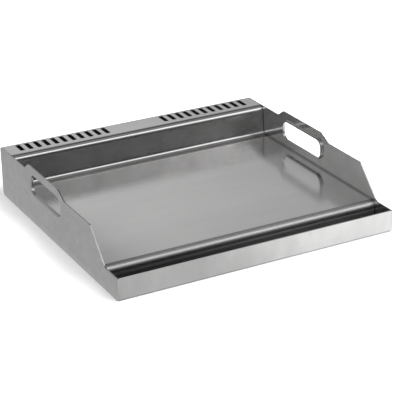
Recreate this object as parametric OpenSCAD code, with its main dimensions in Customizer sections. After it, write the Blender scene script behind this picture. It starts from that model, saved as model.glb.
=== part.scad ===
// Camp griddle plate: one folded steel sheet between two side plates with hand slots.
// The sheet forms the rear skirt, the vented ledge, the back wall, the cooking surface,
// the grease gutter and the front lip. Stiffening bars stand under the cooking surface,
// and weld beads join the pieces. Millimetres, +Z up, +Y to the rear, and the origin is
// on the ground under the middle of the griddle.

/* [Overall] */
// Width over both side plates
width = 450; // [390:5:600]
// Depth from the rear skirt to the front lip
depth = 430; // [370:5:520]

/* [Folded sheet] */
// Thickness of the folded sheet
sheet = 2; // [1:0.25:3]
// Inside radius of the three bends round the cooking surface
bend_inside = 8; // [3:0.5:12]
// Inside radius of the rear edge bend and of the two gutter floor bends
edge_bend_inside = 3; // [1:0.5:5]
// Height of the cooking surface above the ground
surface_height = 34; // [28:1:38]

/* [Rear ledge] */
// Distance from the rear skirt to the front end of the ledge's flat, where its bend begins
ledge_depth = 43.5; // [37:0.5:60]
// Length of the back wall's flat, between its bends
wall_flat = 31.625; // [22:0.125:33]

/* [Vent slots] */
// Number of slots in each of the two groups
vent_count = 11; // [2:1:13]
// Width of one slot
vent_width = 7.5; // [3:0.5:10]
// Length of one slot, from front to rear
vent_length = 26; // [8:0.5:28]
// Radius of the slot corners
vent_corner = 2; // [0.5:0.25:3]
// Distance between the middles of neighbouring slots
vent_pitch = 14.7; // [10:0.1:17]
// Distance from the outside of a side plate to the middle of the first slot
vent_side = 25.5; // [12:0.5:50]
// Distance from the rear skirt to the middle of the slots
vent_rear = 21.5; // [18:0.5:26]

/* [Grease gutter] */
// Open width of the gutter, from front to rear
gutter_width = 41; // [20:0.5:70]
// Height of the front lip above the ground
lip_height = 34.5; // [15:0.5:50]

/* [Side plates] */
// Thickness of a side plate
side_sheet = 2; // [1.5:0.25:3]
// Height of the handle above the ground
handle_height = 93.5; // [86:0.5:110]
// Distance from the rear to the foot of the handle's rear ramp
handle_start = 102.5; // [60:0.5:110]
// Length of the handle between the feet of its ramps
handle_length = 152; // [132:0.5:170]
// Run of the handle's rear ramp
rear_ramp = 15.5; // [10:0.5:24]
// Run of the handle's front ramp
front_ramp = 22.5; // [12:0.5:30]
// Radius of the plate's top edge where a ramp leaves it
ramp_foot_radius = 7; // [2:0.5:12]
// Radius of the plate's top edge at the ends of the handle
ramp_top_radius = 9; // [2:0.5:16]
// Distance from the front to the foot of the front slope
slope_foot = 40.5; // [20:0.5:60]
// Run of the front slope
slope_run = 46; // [20:1:70]
// Radius of the plate's edge at the top of the front slope
slope_top_radius = 6; // [2:0.5:20]
// Radius of the plate's edge at the foot of the front slope
slope_foot_radius = 9; // [2:0.5:20]

/* [Hand slots] */
// Length of the hand slot's opening
slot_length = 113; // [85:1:120]
// Height of the hand slot's opening
slot_height = 30; // [24:0.5:32]
// Radius of the hand slot's corners
slot_corner = 12; // [4:0.5:14]
// Distance from the rear to the hand slot's opening
slot_start = 123.5; // [108:0.5:126]
// Height of the lower edge of the hand slot above the ground
slot_bottom = 49.5; // [40:0.5:52]
// How far the slot's rim stands in from the plate
rim_depth = 3; // [2:0.25:6]
// Inside radius of the rim's bend
rim_bend_inside = 1; // [0.5:0.25:2]

/* [Stiffening bars] */
// Thickness of a bar
bar_thickness = 3; // [2:0.5:6]
// Height of a bar
bar_height = 18; // [14:1:22]
// Distance from a side plate to a bar's end
bar_gap = 15; // [6:1:60]
// Size of the chamfer at a bar's lower corners
bar_chamfer = 11; // [2:1:14]

/* [Welds] */
// Leg of a fillet bead under the cooking surface
bead_leg = 3; // [2:0.5:5]
// Length of one bead, without its rounded ends
bead_length = 28; // [10:1:36]
// Number of beads along each side plate
side_beads = 6; // [2:1:8]
// Number of beads along each stiffening bar
bar_beads = 4; // [2:1:6]
// Depth of the flush beads in the outer corners
corner_bead = 1.2; // [0.5:0.1:1.4]

/* [Hidden] */
$fn = 96;

// Outside radii of the bends
bend_outside = bend_inside + sheet;
edge_bend_outside = edge_bend_inside + sheet;
rim_bend_outside = rim_bend_inside + side_sheet;
// Space between the side plates, which the folded sheet fills
inner_width = width - 2 * side_sheet;
// Distance from the rear to the gutter wall's front face
gutter_wall = depth - sheet - gutter_width;
// Height of the middle of the gutter wall's lower bend
floor_bend = sheet + edge_bend_inside;
// Direction of the back wall, to the rear and up, and the angle by which it leans to the rear
wall_way = [0.07584, 0.99712];
wall_lean = atan2(wall_way[0], wall_way[1]);
// Angle through which the sheet turns at the back wall's top and foot
wall_turn = 90 - wall_lean;
// From the middle of the bend at the back wall's top to the one at its foot: forwards and down
wall_run = (bend_outside + bend_inside) * wall_way[1] + wall_flat * wall_way[0];
wall_fall = wall_flat * wall_way[1] - (bend_outside + bend_inside) * wall_way[0];
// Height of the ledge above the ground
ledge_height = surface_height + bend_inside + bend_outside + wall_fall;
// Flat part of the cooking surface, from the rear, and its underside
flat_start = ledge_depth + wall_run;
flat_length = gutter_wall - bend_outside - flat_start;
surface_underside = surface_height - sheet;
// Number of stiffening bars, one for each of their nodes
bar_count = 3;
// Small overrun that lets a cut pass right through a face, or a shape run into its neighbour
overrun = 1;

// Y of a place given by its distance from the rear
function from_rear(distance) = depth / 2 - distance;

// Middle of step number i when a length is shared by a number of equal steps
function step_middle(length, steps, i) = length * (i + 0.5) / steps;

// Corner between two straight edges that an arc of the given radius takes off or fills
module corner_spandrel(before, corner, after, radius) {
    to_before = (before - corner) / norm(before - corner);
    to_after = (after - corner) / norm(after - corner);
    half_angle = acos(to_before * to_after) / 2;
    bisector = (to_before + to_after) / norm(to_before + to_after);
    tangent = radius / tan(half_angle);
    centre = corner + bisector * radius / sin(half_angle);
    difference() {
        polygon([corner, corner + to_before * tangent, centre, corner + to_after * tangent]);
        translate(centre) circle(radius);
    }
}

// An outline with round corners. Each corner is [distance from the rear, height, radius, fill],
// where fill is true at an inner corner
module rounded_outline(corners) {
    points = [for (c = corners) [from_rear(c[0]), c[1]]];
    last = len(points) - 1;
    difference() {
        union() {
            polygon(points);
            for (i = [0 : last])
                if (corners[i][3])
                    corner_spandrel(points[i - 1], points[i], points[i + 1], corners[i][2]);
        }
        for (i = [0 : last])
            if (!corners[i][3] && corners[i][2] > 0)
                corner_spandrel(
                    points[i == 0 ? last : i - 1], points[i],
                    points[i == last ? 0 : i + 1], corners[i][2]
                );
    }
}

// A flat of the sheet's section between two distances from the rear and two heights
module flat(rear, front, low, high) {
    polygon([[-front, low], [-rear, low], [-rear, high], [-front, high]]);
}

// A bend of the sheet's section about its middle, from a start angle through a sweep
module bend(distance, height, inside, start, sweep = 90) {
    outside = inside + sheet;
    reach = 2 * outside;
    translate([-distance, height]) rotate(start) difference() {
        intersection() {
            circle(outside);
            polygon([[0, 0], [reach, 0], [reach, reach], reach * [cos(sweep), sin(sweep)]]);
        }
        circle(inside);
    }
}

// Section of the back wall. A point at each end runs into the bend there, so that they join
module wall_section() {
    middle = bend_inside + sheet / 2;
    point = sheet / 2;
    translate([-ledge_depth, ledge_height - bend_outside]) rotate(-wall_lean) polygon([
        [-bend_outside, 0], [-middle, point], [-bend_inside, 0],
        [-bend_inside, -wall_flat], [-middle, -wall_flat - point], [-bend_outside, -wall_flat]
    ]);
}

// Section of the folded sheet from the rear skirt to the back wall's top
module rear_section() {
    flat(0, sheet, 0, ledge_height - edge_bend_outside);
    bend(edge_bend_outside, ledge_height - edge_bend_outside, edge_bend_inside, 0);
    flat(edge_bend_outside, ledge_depth, ledge_height - sheet, ledge_height);
    bend(ledge_depth, ledge_height - bend_outside, bend_inside, 90, wall_turn);
}

// Section of the folded sheet from the back wall's foot to the front lip
module front_section() {
    bend(flat_start, surface_height + bend_inside, bend_inside, 270, wall_turn);
    flat(flat_start, gutter_wall - bend_outside, surface_underside, surface_height);
    bend(gutter_wall - bend_outside, surface_height - bend_outside, bend_inside, 90);
    flat(gutter_wall - sheet, gutter_wall, floor_bend, surface_height - bend_outside);
    bend(gutter_wall + edge_bend_inside, floor_bend, edge_bend_inside, 270);
    flat(gutter_wall + edge_bend_inside, depth - edge_bend_outside, 0, sheet);
    bend(depth - edge_bend_outside, edge_bend_outside, edge_bend_inside, 180);
    flat(depth - sheet, depth, edge_bend_outside, lip_height);
}

// A rectangle with round corners, about its own middle
module rounded_rectangle(length, height, corner) {
    square([length, height - 2 * corner], center = true);
    square([length - 2 * corner, height], center = true);
    for (u = [-1, 1], v = [-1, 1])
        translate([u * (length / 2 - corner), v * (height / 2 - corner)]) circle(corner);
}

// Both groups of vent slots as cutters, mirrored about the bare middle of the ledge
module vent_slots() {
    for (side = [-1, 1], i = [0 : vent_count - 1])
        translate([
            side * (width / 2 - vent_side - i * vent_pitch),
            from_rear(vent_rear),
            ledge_height - sheet - overrun
        ])
            linear_extrude(sheet + 2 * overrun)
                rounded_rectangle(vent_width, vent_length, vent_corner);
}

module folded_pan() {
    color("silver") difference() {
        translate([-inner_width / 2, depth / 2, 0]) rotate([90, 0, 90]) {
            linear_extrude(inner_width) rear_section();
            linear_extrude(inner_width) wall_section();
            linear_extrude(inner_width) front_section();
        }
        vent_slots();
        left_corner_beads();
        mirror([1, 0, 0]) left_corner_beads();
    }
}

// Outline of a side plate
module plate_outline() {
    handle_end = handle_start + handle_length;
    slope_start = depth - slope_foot - slope_run;
    rounded_outline([
        [0, 0, edge_bend_outside, false],
        [0, ledge_height, edge_bend_outside, false],
        [handle_start, ledge_height, ramp_foot_radius, true],
        [handle_start + rear_ramp, handle_height, ramp_top_radius, false],
        [handle_end - front_ramp, handle_height, ramp_top_radius, false],
        [handle_end, ledge_height, ramp_foot_radius, true],
        [slope_start, ledge_height, slope_top_radius, false],
        [depth - slope_foot, lip_height, slope_foot_radius, true],
        [depth, lip_height, 0, false],
        [depth, 0, edge_bend_outside, false]
    ]);
}

// Section of the slot's rim: x runs out from the opening, y in from the plate's outside.
// It runs on into the plate by the overrun, so that the two join
module rim_section() {
    translate([rim_bend_outside, 0]) square([overrun, side_sheet]);
    translate([rim_bend_outside, rim_bend_outside]) rotate(180) difference() {
        intersection() {
            circle(rim_bend_outside);
            square(rim_bend_outside);
        }
        circle(rim_bend_inside);
    }
    translate([0, rim_bend_outside]) square([side_sheet, side_sheet + rim_depth - rim_bend_outside]);
}

// One straight side of the rim, at a distance from the slot's middle
module rim_side(length, distance) {
    translate([0, -distance, 0]) rotate([90, 0, -90])
        linear_extrude(length, center = true) rim_section();
}

// The rim all round the slot: four straight sides and four turned corners
module slot_rim() {
    straight = slot_length - 2 * slot_corner;
    upright = slot_height - 2 * slot_corner;
    for (turn = [0, 180]) rotate(turn) rim_side(straight, slot_height / 2);
    for (turn = [90, 270]) rotate(turn) rim_side(upright, slot_length / 2);
    for (corner = [[1, 1, 0], [-1, 1, 90], [-1, -1, 180], [1, -1, 270]])
        translate([corner[0] * straight / 2, corner[1] * upright / 2, 0]) rotate(corner[2])
            rotate_extrude(angle = 90) translate([slot_corner, 0]) rim_section();
}

// The left plate, standing on the ground with its outside at the griddle's side
module side_plate() {
    slot_middle = [from_rear(slot_start + slot_length / 2), slot_bottom + slot_height / 2];
    grown = 2 * rim_bend_outside;
    difference() {
        translate([-width / 2, 0, 0]) rotate([90, 0, 90]) {
            linear_extrude(side_sheet) difference() {
                plate_outline();
                translate(slot_middle) rounded_rectangle(
                    slot_length + grown, slot_height + grown, slot_corner + rim_bend_outside
                );
            }
            translate([slot_middle[0], slot_middle[1], 0]) slot_rim();
        }
        left_corner_beads();
    }
}

module left_side_plate() {
    color("gainsboro") side_plate();
}

module right_side_plate() {
    color("gainsboro") mirror([1, 0, 0]) side_plate();
}

// One stiffening bar on edge under the cooking surface, its lower corners chamfered
module stiffener(i) {
    half = inner_width / 2 - bar_gap;
    foot = half - bar_chamfer;
    chamfer_top = surface_underside - bar_height + bar_chamfer;
    translate([0, from_rear(flat_start + step_middle(flat_length, bar_count, i)), 0])
        rotate([90, 0, 0]) linear_extrude(bar_thickness, center = true) polygon([
            [-half, surface_underside], [-half, chamfer_top],
            [-foot, surface_underside - bar_height], [foot, surface_underside - bar_height],
            [half, chamfer_top], [half, surface_underside]
        ]);
}

module rear_stiffener() {
    color("darkgray") stiffener(0);
}

module middle_stiffener() {
    color("darkgray") stiffener(1);
}

module front_stiffener() {
    color("darkgray") stiffener(2);
}

// Section of a fillet bead: a quarter disc in the corner that it fills
module bead_section() {
    intersection() {
        circle(bead_leg);
        square(bead_leg);
    }
}

// A fillet bead along +Z with rounded ends, in the corner between +X and +Y
module fillet_bead() {
    for (end = [0, 1]) mirror([0, 0, end])
        translate([0, 0, bead_length / 2]) rotate_extrude(angle = 90) bead_section();
    linear_extrude(bead_length, center = true) bead_section();
}

// Beads between the left plate's inside and the underside of the cooking surface
module seam_beads() {
    for (i = [0 : side_beads - 1])
        translate([
            -inner_width / 2,
            from_rear(flat_start + step_middle(flat_length, side_beads, i)),
            surface_underside
        ])
            rotate([90, 0, 0]) mirror([0, 1, 0]) fillet_bead();
}

module left_seam_welds() {
    color("lightgray") seam_beads();
}

module right_seam_welds() {
    color("lightgray") mirror([1, 0, 0]) seam_beads();
}

// Beads between the bars and the cooking surface, on alternate faces of each bar
module stiffener_welds() {
    span = inner_width - 2 * bar_gap;
    color("lightgray") for (bar = [0 : bar_count - 1], i = [0 : bar_beads - 1])
        translate([
            step_middle(span, bar_beads, i) - span / 2,
            from_rear(flat_start + step_middle(flat_length, bar_count, bar)),
            surface_underside
        ])
            rotate((i + bar) % 2 * 180) translate([0, bar_thickness / 2, 0])
                rotate([0, 90, 0]) fillet_bead();
}

// Section of a flush corner bead: a groove with its open side on the x axis
module groove_section() {
    polygon([[-corner_bead, 0], [corner_bead, 0], [0, -corner_bead]]);
}

// Flush beads in the outer corners of the left plate: at the lip, the ledge and the skirt
module left_corner_beads() {
    ledge_flat = ledge_depth - edge_bend_outside;
    translate([-inner_width / 2, 0, 0]) {
        translate([0, -depth / 2, edge_bend_outside]) rotate(180)
            linear_extrude(lip_height - edge_bend_outside) groove_section();
        translate([0, from_rear(edge_bend_outside), ledge_height]) rotate([90, 0, 0])
            linear_extrude(ledge_flat) groove_section();
        translate([0, depth / 2, edge_bend_outside])
            linear_extrude(ledge_height - 2 * edge_bend_outside) groove_section();
    }
}

module left_corner_welds() {
    color("whitesmoke") left_corner_beads();
}

module right_corner_welds() {
    color("whitesmoke") mirror([1, 0, 0]) left_corner_beads();
}

folded_pan();
left_side_plate();
right_side_plate();
rear_stiffener();
middle_stiffener();
front_stiffener();
left_seam_welds();
right_seam_welds();
stiffener_welds();
left_corner_welds();
right_corner_welds();
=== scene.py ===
"""Looks of the camp griddle plate: brushed stainless steel on a white studio floor."""
import math

import bpy
from mathutils import Matrix, Vector

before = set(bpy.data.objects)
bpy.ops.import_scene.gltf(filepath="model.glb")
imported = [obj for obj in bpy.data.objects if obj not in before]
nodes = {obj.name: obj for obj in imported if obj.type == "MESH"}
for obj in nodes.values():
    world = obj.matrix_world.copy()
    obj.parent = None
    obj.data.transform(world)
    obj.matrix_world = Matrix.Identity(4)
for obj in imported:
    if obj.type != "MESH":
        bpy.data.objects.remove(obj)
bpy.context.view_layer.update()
scene = bpy.context.scene


class Graph:
    """A node tree that is built up from sockets and numbers."""

    def __init__(self, tree):
        self.tree = tree
        self.link = tree.links.new
        tree.nodes.clear()

    def node(self, kind):
        return self.tree.nodes.new("ShaderNode" + kind)

    def feed(self, socket, value):
        """Sets a socket to a number, or joins it to another socket."""
        if isinstance(value, (int, float)):
            socket.default_value = value
        else:
            self.link(value, socket)

    def math(self, operation, first, second=None):
        made = self.node("Math")
        made.operation = operation
        self.feed(made.inputs[0], first)
        if second is not None:
            self.feed(made.inputs[1], second)
        return made.outputs[0]

    def product(self, *values):
        result = values[0]
        for value in values[1:]:
            result = self.math("MULTIPLY", result, value)
        return result

    def span(self, value, old, new):
        """A smooth passage from new[0] to new[1] while the value goes from old[0] to old[1]."""
        made = self.node("MapRange")
        made.interpolation_type = "SMOOTHSTEP"
        for socket, limit in zip(("From Min", "From Max", "To Min", "To Max"), (*old, *new)):
            self.feed(made.inputs[socket], limit)
        self.feed(made.inputs["Value"], value)
        return made.outputs["Result"]

    def rise(self, value, limits, top=1):
        """From 0 to top while the value goes through the limits."""
        return self.span(value, limits, (0, top))

    def fall(self, value, limits, top=1):
        """From top to 0 while the value goes through the limits."""
        return self.span(value, limits, (top, 0))

    def within(self, value, start, end):
        """1 where the value is past its start and before its end, and 0 elsewhere."""
        return self.product(self.rise(value, start), self.fall(value, end))

    def darker(self, place, share):
        """A tone that is less by a share at a place, and 1 elsewhere."""
        return self.math("SUBTRACT", 1, self.product(place, share))

    def only(self, place, tone):
        """The tone at a place, and 1 elsewhere."""
        return self.math("ADD", 1, self.product(place, self.math("SUBTRACT", tone, 1)))

    def parts(self, vector):
        split = self.node("SeparateXYZ")
        self.link(vector, split.inputs["Vector"])
        return [split.outputs[axis] for axis in "XYZ"]

    def place(self):
        """Where a point is: its x, y and z in the row frame, in metres."""
        return self.parts(self.node("TexCoord").outputs["Object"])

    def facing(self):
        """How much a face looks along x, y and z, whichever way round."""
        normal = self.parts(self.node("NewGeometry").outputs["Normal"])
        return [self.math("ABSOLUTE", part) for part in normal]

    def noise(self, scale, detail):
        """Noise in the row frame, in cycles per metre along each axis."""
        stretch = self.node("Mapping")
        stretch.inputs["Scale"].default_value = scale
        self.link(self.node("TexCoord").outputs["Object"], stretch.inputs["Vector"])
        made = self.node("TexNoise")
        made.inputs["Scale"].default_value = 1
        made.inputs["Detail"].default_value = detail
        self.link(stretch.outputs["Vector"], made.inputs["Vector"])
        return made.outputs["Fac"]

    def ramp(self, value, stops):
        """A colour ramp through (position, colour) stops."""
        made = self.node("ValToRGB")
        elements = made.color_ramp.elements
        for i, (position, colour) in enumerate(stops):
            element = elements[i] if i < 2 else elements.new(1)
            element.position = position
            element.color = (*colour, 1)
        self.link(value, made.inputs["Fac"])
        return made.outputs["Color"]


# Steel

# The middle range of a noise, over which its tones are spread, and the details of coarse and
# fine noises
NOISE_RANGE = (0.3, 0.7)
COARSE = 2
FINE = 3
# Height of the brushing, in metres, and the quarter turn that lays gloss along the grain
BRUSHING_HEIGHT = 0.00002
QUARTER_TURN = 0.25


def brushed_steel(
    name, grain, dark, light, rough, streak, cloud, anisotropy, bump, shade=None, dulling=None
):
    """Brushed steel whose grain runs along the axis grain.

    Its colour goes from dark to light by a noise of scale cloud, and its roughness between the
    two values of rough by a noise of scale streak, along and across the grain.
    """
    material = bpy.data.materials.new(name)
    material.use_nodes = True
    graph = Graph(material.node_tree)
    output = graph.node("OutputMaterial")
    shader = graph.node("BsdfPrincipled")
    graph.link(shader.outputs["BSDF"], output.inputs["Surface"])
    along, across = streak
    brushing = graph.noise([along if part else across for part in grain], FINE)
    low, high = NOISE_RANGE
    tone = graph.ramp(graph.noise(cloud, COARSE), [(low, dark), (high, light)])
    if shade:
        shaded = graph.node("VectorMath")
        shaded.operation = "SCALE"
        graph.link(tone, shaded.inputs[0])
        graph.link(shade(graph), shaded.inputs["Scale"])
        tone = shaded.outputs["Vector"]
    graph.link(tone, shader.inputs["Base Color"])
    roughness = graph.span(brushing, NOISE_RANGE, rough)
    if dulling:
        roughness = graph.math("ADD", roughness, dulling(graph))
    graph.link(roughness, shader.inputs["Roughness"])
    shader.inputs["Metallic"].default_value = 1
    shader.inputs["Anisotropic"].default_value = anisotropy
    shader.inputs["Anisotropic Rotation"].default_value = QUARTER_TURN
    direction = graph.node("CombineXYZ")
    for axis, part in zip("XYZ", grain):
        direction.inputs[axis].default_value = part
    graph.link(direction.outputs["Vector"], shader.inputs["Tangent"])
    relief = graph.node("Bump")
    relief.inputs["Strength"].default_value = bump
    relief.inputs["Distance"].default_value = BRUSHING_HEIGHT
    graph.link(brushing, relief.inputs["Height"])
    graph.link(relief.outputs["Normal"], shader.inputs["Normal"])
    return material


def mottled(graph, scale, amount):
    """Tone that goes up and down by a share along a noise."""
    return graph.span(graph.noise(scale, FINE), NOISE_RANGE, (1 - amount, 1 + amount))


# Places on the pan. Each is a pair of limits, in metres, between which a place begins or ends,
# and DARK is the share by which it is darker.

# The gutter: from inside the lip to its rear wall, up to the bend above that wall, darkened as
# painted shade in that hollow
LIP_INSIDE = (-0.2147, -0.2139)
GUTTER_REAR = (-0.175, -0.168)
GUTTER_TOP = (0.022, 0.034)
GUTTER_SHADE_DARK = 0.48
# The front face of the gutter's rear wall
REAR_WALL_START = (-0.19, -0.18)
REAR_WALL_END = (-0.1713, -0.1703)
# Heights of the painted reflection on that wall, drawn as two dark lines and a light one between
# them, the places across the width between which each changes, and its amounts at the left and at
# the right
UPPER_LINE = {"start": (0.0224, 0.0234), "end": (0.026, 0.0285)}
UPPER_CHANGE = ((-0.2, 0.05), (0.5, 0.25))
LIGHT_BAND_LINE = {"start": (0.0184, 0.0202), "end": (0.0214, 0.0228)}
LIGHT_BAND_CHANGE = ((-0.22, 0.1), (0.1, 1.3))
LOWER_LINE_END = (0.0172, 0.019)
LOWER_CHANGE = ((-0.2, 0.15), (0.55, 0))
# The cooking surface: its height, its front and its rear
SURFACE_HEIGHT = (0.031, 0.0335)
SURFACE_FRONT = (-0.2, -0.18)
SURFACE_REAR = (0.15, 0.16)
# The foot of the back wall, darkened as painted shade in the crease there
FOOT_START = (0.141, 0.1445)
FOOT_END = (0.1528, 0.1552)
FOOT_SHADE_DARK = 0.55
# The pan's edges at the side plates, above the surface and in the gutter
SEAM_SIDE = (0.2214, 0.2227)
SEAM_HEIGHT = (0.034, 0.037)
SEAM_REAR = (0.17, 0.18)
SEAM_FRONT = (-0.172, -0.165)
SEAM_DARK = 0.75
# The surface beside the side plates, darkened as painted shade in the corner: a wide faint strip
# and a narrow darker one along the joint
WIDE_STRIP = (0.165, 0.215)
WIDE_DARK = 0.14
NARROW_STRIP = (0.2165, 0.2225)
NARROW_DARK = 0.5
# Painted shade on the surface's front left, beside the left plate
FRONT_LEFT_SHADE_RIGHT = (-0.22, -0.08)
FRONT_LEFT_SHADE_REAR = (-0.15, 0.06)
FRONT_LEFT_SHADE_DARK = 0.22
# The inside of the ledge, darkened as painted shade so that the vents look black
DUCT_FRONT = (0.1665, 0.1675)
DUCT_REAR = (0.2135, 0.2145)
DUCT_TOP = (0.0814, 0.082)
DUCT_SHADE_DARK = 0.7
# The back wall
WALL_START = (0.1, 0.14)
WALL_END = (0.175, 0.195)
# How much a face looks up or down where it stops being upright
UPRIGHT = (0.3, 0.6)
# Streaks and blotches of upright faces and the brushing of all: noise scale and amount
WALL_STREAKS = ((80, 300, 420), 0.11)
BLOTCHES = ((28, 60, 18), 0.06)
PAN_BRUSHING = ((6, 170, 170), 0.007)


def in_gutter(graph):
    """1 inside the grease gutter and 0 elsewhere."""
    _, y, z = graph.place()
    return graph.product(graph.within(y, LIP_INSIDE, GUTTER_REAR), graph.fall(z, GUTTER_TOP))


def gutter_painted_reflection(graph):
    """Tone of the painted reflection on the gutter's rear wall: two dark lines, stronger at the
    left, and a light one between them, stronger at the right.
    """
    x, y, z = graph.place()
    upper = graph.product(graph.span(x, *UPPER_CHANGE), graph.within(z, **UPPER_LINE))
    light_band = graph.product(graph.span(x, *LIGHT_BAND_CHANGE), graph.within(z, **LIGHT_BAND_LINE))
    lower = graph.product(graph.span(x, *LOWER_CHANGE), graph.fall(z, LOWER_LINE_END))
    change = graph.math("SUBTRACT", light_band, graph.math("ADD", upper, lower))
    on_rear_wall = graph.within(y, REAR_WALL_START, REAR_WALL_END)
    return graph.math("ADD", 1, graph.product(on_rear_wall, change))


def above_gutter(graph):
    """1 on the cooking surface and above it, and 0 in the gutter and on its lip."""
    _, y, z = graph.place()
    return graph.product(graph.rise(z, SURFACE_HEIGHT), graph.rise(y, SURFACE_FRONT))


def at_foot(graph):
    """1 along the foot of the back wall and 0 elsewhere."""
    _, y, _ = graph.place()
    return graph.within(y, FOOT_START, FOOT_END)


def pan_shade(graph):
    """Streaks and blotches on the upright faces, dark seams at the side plates, and painted shade
    and a painted reflection in the gutter, at the wall's foot, beside the side plates, at the
    front left and inside the ledge.
    """
    x, y, z = graph.place()
    sideways = graph.math("ABSOLUTE", x)
    over_surface = graph.product(graph.rise(z, SEAM_HEIGHT), graph.fall(y, SEAM_REAR))
    in_front = graph.within(y, LIP_INSIDE, SEAM_FRONT)
    seam = graph.product(
        graph.rise(sideways, SEAM_SIDE), graph.math("MAXIMUM", over_surface, in_front)
    )
    corner_shade = graph.math(
        "ADD",
        graph.rise(sideways, WIDE_STRIP, WIDE_DARK),
        graph.rise(sideways, NARROW_STRIP, NARROW_DARK),
    )
    on_surface = graph.product(graph.fall(y, SURFACE_REAR), above_gutter(graph))
    front_left_shade = graph.product(
        graph.fall(x, FRONT_LEFT_SHADE_RIGHT), graph.fall(y, FRONT_LEFT_SHADE_REAR), above_gutter(graph)
    )
    in_duct = graph.product(graph.within(y, DUCT_FRONT, DUCT_REAR), graph.fall(z, DUCT_TOP))
    on_wall = graph.within(y, WALL_START, WALL_END)
    upright = graph.fall(graph.facing()[2], UPRIGHT)
    return graph.product(
        graph.darker(seam, SEAM_DARK),
        # painted shade in the gutter
        graph.darker(in_gutter(graph), GUTTER_SHADE_DARK),
        # painted reflection on the gutter's rear wall
        gutter_painted_reflection(graph),
        # painted shade in the crease at the back wall's foot
        graph.darker(at_foot(graph), FOOT_SHADE_DARK),
        # painted shade beside the side plates
        graph.darker(on_surface, corner_shade),
        # painted shade at the front left, beside the left plate
        graph.darker(front_left_shade, FRONT_LEFT_SHADE_DARK),
        # painted shade inside the ledge
        graph.darker(in_duct, DUCT_SHADE_DARK),
        graph.only(graph.product(on_wall, upright), mottled(graph, *WALL_STREAKS)),
        graph.only(upright, mottled(graph, *BLOTCHES)),
        mottled(graph, *PAN_BRUSHING),
    )


# Duller places of the pan, with what each adds to the roughness: the bend above the gutter, the
# gutter, the back wall and its foot
BEND_START = (-0.18, -0.174)
BEND_END = (-0.168, -0.16)
FRONT_DULL = 0.2
DULL_WALL_START = (0.13, 0.14)
DULL_WALL_UPRIGHT = (0.1, 0.2)
WALL_DULL = 0.1
FOOT_DULL = 0.25


def pan_dulling(graph):
    """The back wall and its foot, the front bend and the gutter are duller than the rest."""
    _, y, _ = graph.place()
    front_bend = graph.within(y, BEND_START, BEND_END)
    wall = graph.product(
        graph.rise(y, DULL_WALL_START), graph.fall(graph.facing()[2], DULL_WALL_UPRIGHT)
    )
    front = graph.product(graph.math("MAXIMUM", front_bend, in_gutter(graph)), FRONT_DULL)
    rear = graph.math(
        "MAXIMUM", graph.product(wall, WALL_DULL), graph.product(at_foot(graph), FOOT_DULL)
    )
    return graph.math("ADD", front, rear)


# A side plate's edges: how much a face looks sideways where it stops being an edge, and up or
# down where it is a level one. Then the plate's mottling and brushing: noise scale and amount.
EDGE_FACING = (0.6, 0.95)
LEVEL_FACING = (0.75, 0.95)
EDGE_DARK = 0.4
EDGE_DULL = 0.2
PLATE_MOTTLING = ((60, 60, 90), 0.045)
PLATE_BRUSHING = ((30, 500, 500), 0.03)


def cut_edge(graph):
    """1 on the edges and slot rims of a side plate and 0 on its faces."""
    return graph.fall(graph.facing()[0], EDGE_FACING)


def plate_shade(graph):
    """Mottled faces, and darker level edges."""
    level = graph.rise(graph.facing()[2], LEVEL_FACING)
    return graph.product(
        graph.darker(graph.product(cut_edge(graph), level), EDGE_DARK),
        mottled(graph, *PLATE_MOTTLING),
        mottled(graph, *PLATE_BRUSHING),
    )


def plate_dulling(graph):
    """The edges are duller than the faces."""
    return graph.product(cut_edge(graph), EDGE_DULL)


pan_steel = brushed_steel(
    "pan_steel", grain=(1, 0, 0), dark=(0.62, 0.615, 0.612), light=(0.67, 0.665, 0.662),
    rough=(0.13, 0.17), streak=(9, 1300), cloud=(4, 9, 9), anisotropy=0.5, bump=0.1,
    shade=pan_shade, dulling=pan_dulling,
)
plate_steel = brushed_steel(
    "plate_steel", grain=(0, 1, 0), dark=(0.6, 0.595, 0.592), light=(0.66, 0.655, 0.652),
    rough=(0.08, 0.12), streak=(9, 1300), cloud=(9, 5, 9), anisotropy=0.4, bump=0.1,
    shade=plate_shade, dulling=plate_dulling,
)
bar_steel = brushed_steel(
    "bar_steel", grain=(1, 0, 0), dark=(0.42, 0.42, 0.42), light=(0.52, 0.52, 0.51),
    rough=(0.34, 0.46), streak=(8, 600), cloud=(12, 30, 30), anisotropy=0.3, bump=0.2,
)
weld_steel = brushed_steel(
    "weld_steel", grain=(1, 0, 0), dark=(0.36, 0.34, 0.31), light=(0.5, 0.48, 0.45),
    rough=(0.3, 0.5), streak=(260, 260), cloud=(120, 120, 120), anisotropy=0, bump=0.6,
)
ground_weld_steel = brushed_steel(
    "ground_weld_steel", grain=(0, 0, 1), dark=(0.62, 0.62, 0.615), light=(0.74, 0.74, 0.735),
    rough=(0.26, 0.36), streak=(60, 1500), cloud=(40, 40, 40), anisotropy=0.4, bump=0.2,
)
FINISH = {
    "folded_pan": pan_steel,
    "left_side_plate": plate_steel,
    "right_side_plate": plate_steel,
    "rear_stiffener": bar_steel,
    "middle_stiffener": bar_steel,
    "front_stiffener": bar_steel,
    "left_seam_welds": weld_steel,
    "right_seam_welds": weld_steel,
    "stiffener_welds": weld_steel,
    "left_corner_welds": ground_weld_steel,
    "right_corner_welds": ground_weld_steel,
}
for name, material in FINISH.items():
    nodes[name].data.materials.clear()
    nodes[name].data.materials.append(material)


# Levels of floor and studio

# A ramp's colours end at 1, so levels are written as shares of this one, and the strength of
# the light makes up for it
FULL_LEVEL = 2


def greys(levels):
    """Ramp stops of plain greys at (position, level) pairs."""
    return [(position, (level / FULL_LEVEL,) * 3) for position, level in levels]


# Floor

FLOOR_HALF = 9.0
PAPER_GREY = 0.9
PAPER_ROUGHNESS = 0.9
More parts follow.
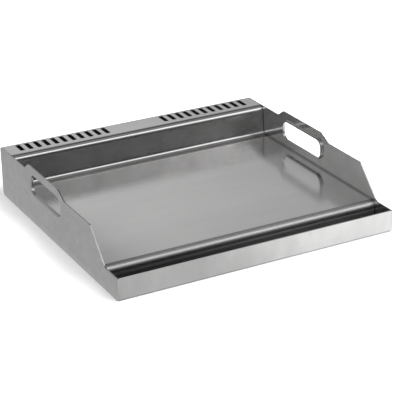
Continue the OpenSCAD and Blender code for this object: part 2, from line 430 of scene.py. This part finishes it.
# Half sizes of the griddle's footprint, its sheet, the width of the soft shadow that stays
# beside it and the share of the floor's white that is left at its edge
FOOTPRINT = (0.225, 0.215)
SHEET = 0.002
SHADOW_WIDTH = 0.1
SHADOW_REST = 0.4
# Brightness of the floor as metal sees it, at places across the width from left to right
FLOOR_TONES = [
    (-0.3, 0.48), (-0.235, 0.48), (-0.2, 0.68), (-0.06, 0.71),
    (0.03, 0.92), (0.1, 1.1), (0.27, 1.28), (0.33, 0.5),
]
# Distances in front of the griddle's middle between which that brightness falls off, and its rest
FLOOR_END = (0.32, 0.45)
FLOOR_REST = 0.15
# Distances in from the griddle's sides between which metal sees the floor under it go dark, and
# those between which that floor, in front of the ledge, gets some light again
DARK_EDGE = (0.004, 0.012)
UNDER_EDGE = (0.03, 0.12)
UNDER_LIGHT = 0.5
LEDGE_EDGE = (0.1, 0.14)


def make_floor():
    mesh = bpy.data.meshes.new("floor")
    corners = [(-1, -1), (1, -1), (1, 1), (-1, 1)]
    mesh.from_pydata([(FLOOR_HALF * x, FLOOR_HALF * y, 0) for x, y in corners], [], [(0, 1, 2, 3)])
    floor = bpy.data.objects.new("floor", mesh)
    scene.collection.objects.link(floor)
    material = bpy.data.materials.new("studio_floor")
    material.use_nodes = True
    floor.data.materials.append(material)
    graph = Graph(material.node_tree)
    x, y, _ = graph.place()
    beside = [
        graph.math("SUBTRACT", graph.math("ABSOLUTE", part), size)
        for part, size in zip((x, y), FOOTPRINT)
    ]
    squares = [graph.math("POWER", graph.math("MAXIMUM", part, 0), 2) for part in beside]
    away = graph.math("SQRT", graph.math("ADD", *squares))
    inside = graph.math("MULTIPLY", graph.math("MAXIMUM", *beside), -1)

    # The floor as the camera sees it: white, with the griddle's shadow beside it
    rays = graph.node("LightPath")
    seen = graph.math(
        "ADD", rays.outputs["Is Camera Ray"], rays.outputs["Is Transmission Ray"]
    )
    paper = graph.node("BsdfPrincipled")
    paper.inputs["Base Color"].default_value = (PAPER_GREY, PAPER_GREY, PAPER_GREY, 1)
    paper.inputs["Roughness"].default_value = PAPER_ROUGHNESS
    paper.inputs["Specular IOR Level"].default_value = 0
    paper.inputs["Emission Color"].default_value = (1, 1, 1, 1)
    lift = graph.span(away, (0, SHADOW_WIDTH), (SHADOW_REST, 1))
    uncovered = graph.fall(inside, (0, SHEET))
    graph.link(graph.product(seen, lift, uncovered), paper.inputs["Emission Strength"])

    # The floor as metal sees it: darker at the left and far in front, and dark under the griddle
    left, right = FLOOR_TONES[0][0], FLOOR_TONES[-1][0]
    width = right - left
    across = graph.math("DIVIDE", graph.math("SUBTRACT", x, left), width)
    tones = graph.ramp(across, greys([((at - left) / width, level) for at, level in FLOOR_TONES]))
    strength = graph.span(
        graph.math("MULTIPLY", y, -1), FLOOR_END, (FULL_LEVEL, FULL_LEVEL * FLOOR_REST)
    )
    under = graph.product(
        graph.rise(inside, UNDER_EDGE, UNDER_LIGHT), graph.fall(y, LEDGE_EDGE)
    )
    lit = graph.math("ADD", graph.fall(inside, DARK_EDGE), under)
    mirrored = graph.node("Emission")
    graph.link(tones, mirrored.inputs["Color"])
    graph.link(graph.product(strength, lit), mirrored.inputs["Strength"])

    choose = graph.node("MixShader")
    graph.link(rays.outputs["Is Glossy Ray"], choose.inputs["Fac"])
    graph.link(paper.outputs["BSDF"], choose.inputs[1])
    graph.link(mirrored.outputs["Emission"], choose.inputs[2])

    # From below the floor is clear, so that the underside can be looked at
    upper_side = graph.node("MixShader")
    graph.link(graph.node("NewGeometry").outputs["Backfacing"], upper_side.inputs["Fac"])
    graph.link(choose.outputs["Shader"], upper_side.inputs[1])
    graph.link(graph.node("BsdfTransparent").outputs["BSDF"], upper_side.inputs[2])
    graph.link(upper_side.outputs["Shader"], graph.node("OutputMaterial").inputs["Surface"])


make_floor()


# Light

# Brightness of the studio round the griddle, by the angle from the front horizon over the
# zenith to the rear horizon, in degrees, on its right, in its middle and on its left
RIGHT_SIDE = [
    (0, 0.11), (18, 0.145), (23, 0.28), (29, 0.8), (36, 1.5), (54, 1.9), (60, 0.7), (67, 0.2),
    (80, 0.26), (125, 0.26), (138, 0.16), (147, 0.4), (154, 0.62), (161, 0.4), (170, 0.15),
    (180, 0.1),
]
MIDDLE = [
    (0, 0.06), (18, 0.07), (30, 0.11), (36, 0.22), (43, 1.25), (55, 1.9), (61, 0.6), (67, 0.2),
    (80, 0.26), (125, 0.26), (138, 0.16), (147, 0.5), (154, 0.8), (161, 0.5), (170, 0.15),
    (180, 0.1),
]
LEFT_SIDE = [
    (0, 0.22), (22, 0.26), (36, 0.4), (43, 1.4), (54, 1.6), (61, 0.4), (70, 0.2), (80, 0.24),
    (125, 0.24), (136, 0.14), (148, 0.46), (155, 0.59), (165, 0.34), (180, 0.3),
]
HALF_TURN = 180
# Sideways parts of a direction between which the studio goes over to its middle and its right
MIDDLE_SPAN = (-0.3, 0.3)
RIGHT_SPAN = (0.37, 0.5)
# A Mix node's sockets for colours
MIX_FIRST = 6
MIX_SECOND = 7
MIX_RESULT = 2


def make_world():
    world = bpy.data.worlds.new("studio")
    scene.world = world
    world.use_nodes = True
    graph = Graph(world.node_tree)
    x, y, z = graph.parts(graph.node("TexCoord").outputs["Generated"])
    turn = graph.math("ARCTAN2", z, graph.math("MULTIPLY", y, -1))
    half_turns = graph.math("DIVIDE", turn, math.pi)

    def side(levels):
        stops = [(angle / HALF_TURN, level) for angle, level in levels]
        return graph.ramp(half_turns, greys(stops))

    def go_over(first, second, limits):
        both = graph.node("Mix")
        both.data_type = "RGBA"
        graph.link(graph.rise(x, limits), both.inputs["Factor"])
        graph.link(first, both.inputs[MIX_FIRST])
        graph.link(second, both.inputs[MIX_SECOND])
        return both.outputs[MIX_RESULT]

    left_half = go_over(side(LEFT_SIDE), side(MIDDLE), MIDDLE_SPAN)
    studio = graph.node("Background")
    studio.inputs["Strength"].default_value = FULL_LEVEL
    graph.link(go_over(left_half, side(RIGHT_SIDE), RIGHT_SPAN), studio.inputs["Color"])
    white = graph.node("Background")
    white.inputs["Color"].default_value = (1, 1, 1, 1)
    choose = graph.node("MixShader")
    graph.link(graph.node("LightPath").outputs["Is Camera Ray"], choose.inputs["Fac"])
    graph.link(studio.outputs["Background"], choose.inputs[1])
    graph.link(white.outputs["Background"], choose.inputs[2])
    graph.link(choose.outputs["Shader"], graph.node("OutputWorld").inputs["Surface"])


make_world()

# A soft sun that metal doesn't mirror
SUN_TOWARDS = Vector((0.45, -0.55, 0.7))
SUN_STRENGTH = 2.6
SUN_SPREAD = math.radians(50)
sun = bpy.data.objects.new("key", bpy.data.lights.new("key", "SUN"))
sun.data.energy = SUN_STRENGTH
sun.data.angle = SUN_SPREAD
sun.rotation_mode = "QUATERNION"
sun.rotation_quaternion = SUN_TOWARDS.to_track_quat("Z", "Y")
sun.visible_glossy = False
scene.collection.objects.link(sun)


# Camera

CAMERA_AT = Vector((-0.9515, -1.852, 0.9292))
CAMERA_AIM = Vector((-0.0075, -0.04496, 0.03946))
CAMERA_ROLL = math.radians(-1.2478)
CAMERA_LENS = 132.97
CAMERA_SENSOR = 36
CAMERA_NEAR = 0.1
CAMERA_FAR = 60
camera = bpy.data.objects.new("camera", bpy.data.cameras.new("camera"))
camera.data.sensor_width = CAMERA_SENSOR
camera.data.lens = CAMERA_LENS
camera.data.clip_start = CAMERA_NEAR
camera.data.clip_end = CAMERA_FAR
towards = (CAMERA_AIM - CAMERA_AT).to_track_quat("-Z", "Y").to_matrix()
turned = towards @ Matrix.Rotation(CAMERA_ROLL, 3, "Z")
camera.matrix_world = Matrix.Translation(CAMERA_AT) @ turned.to_4x4()
scene.collection.objects.link(camera)
scene.camera = camera

scene.view_settings.view_transform = "Standard"
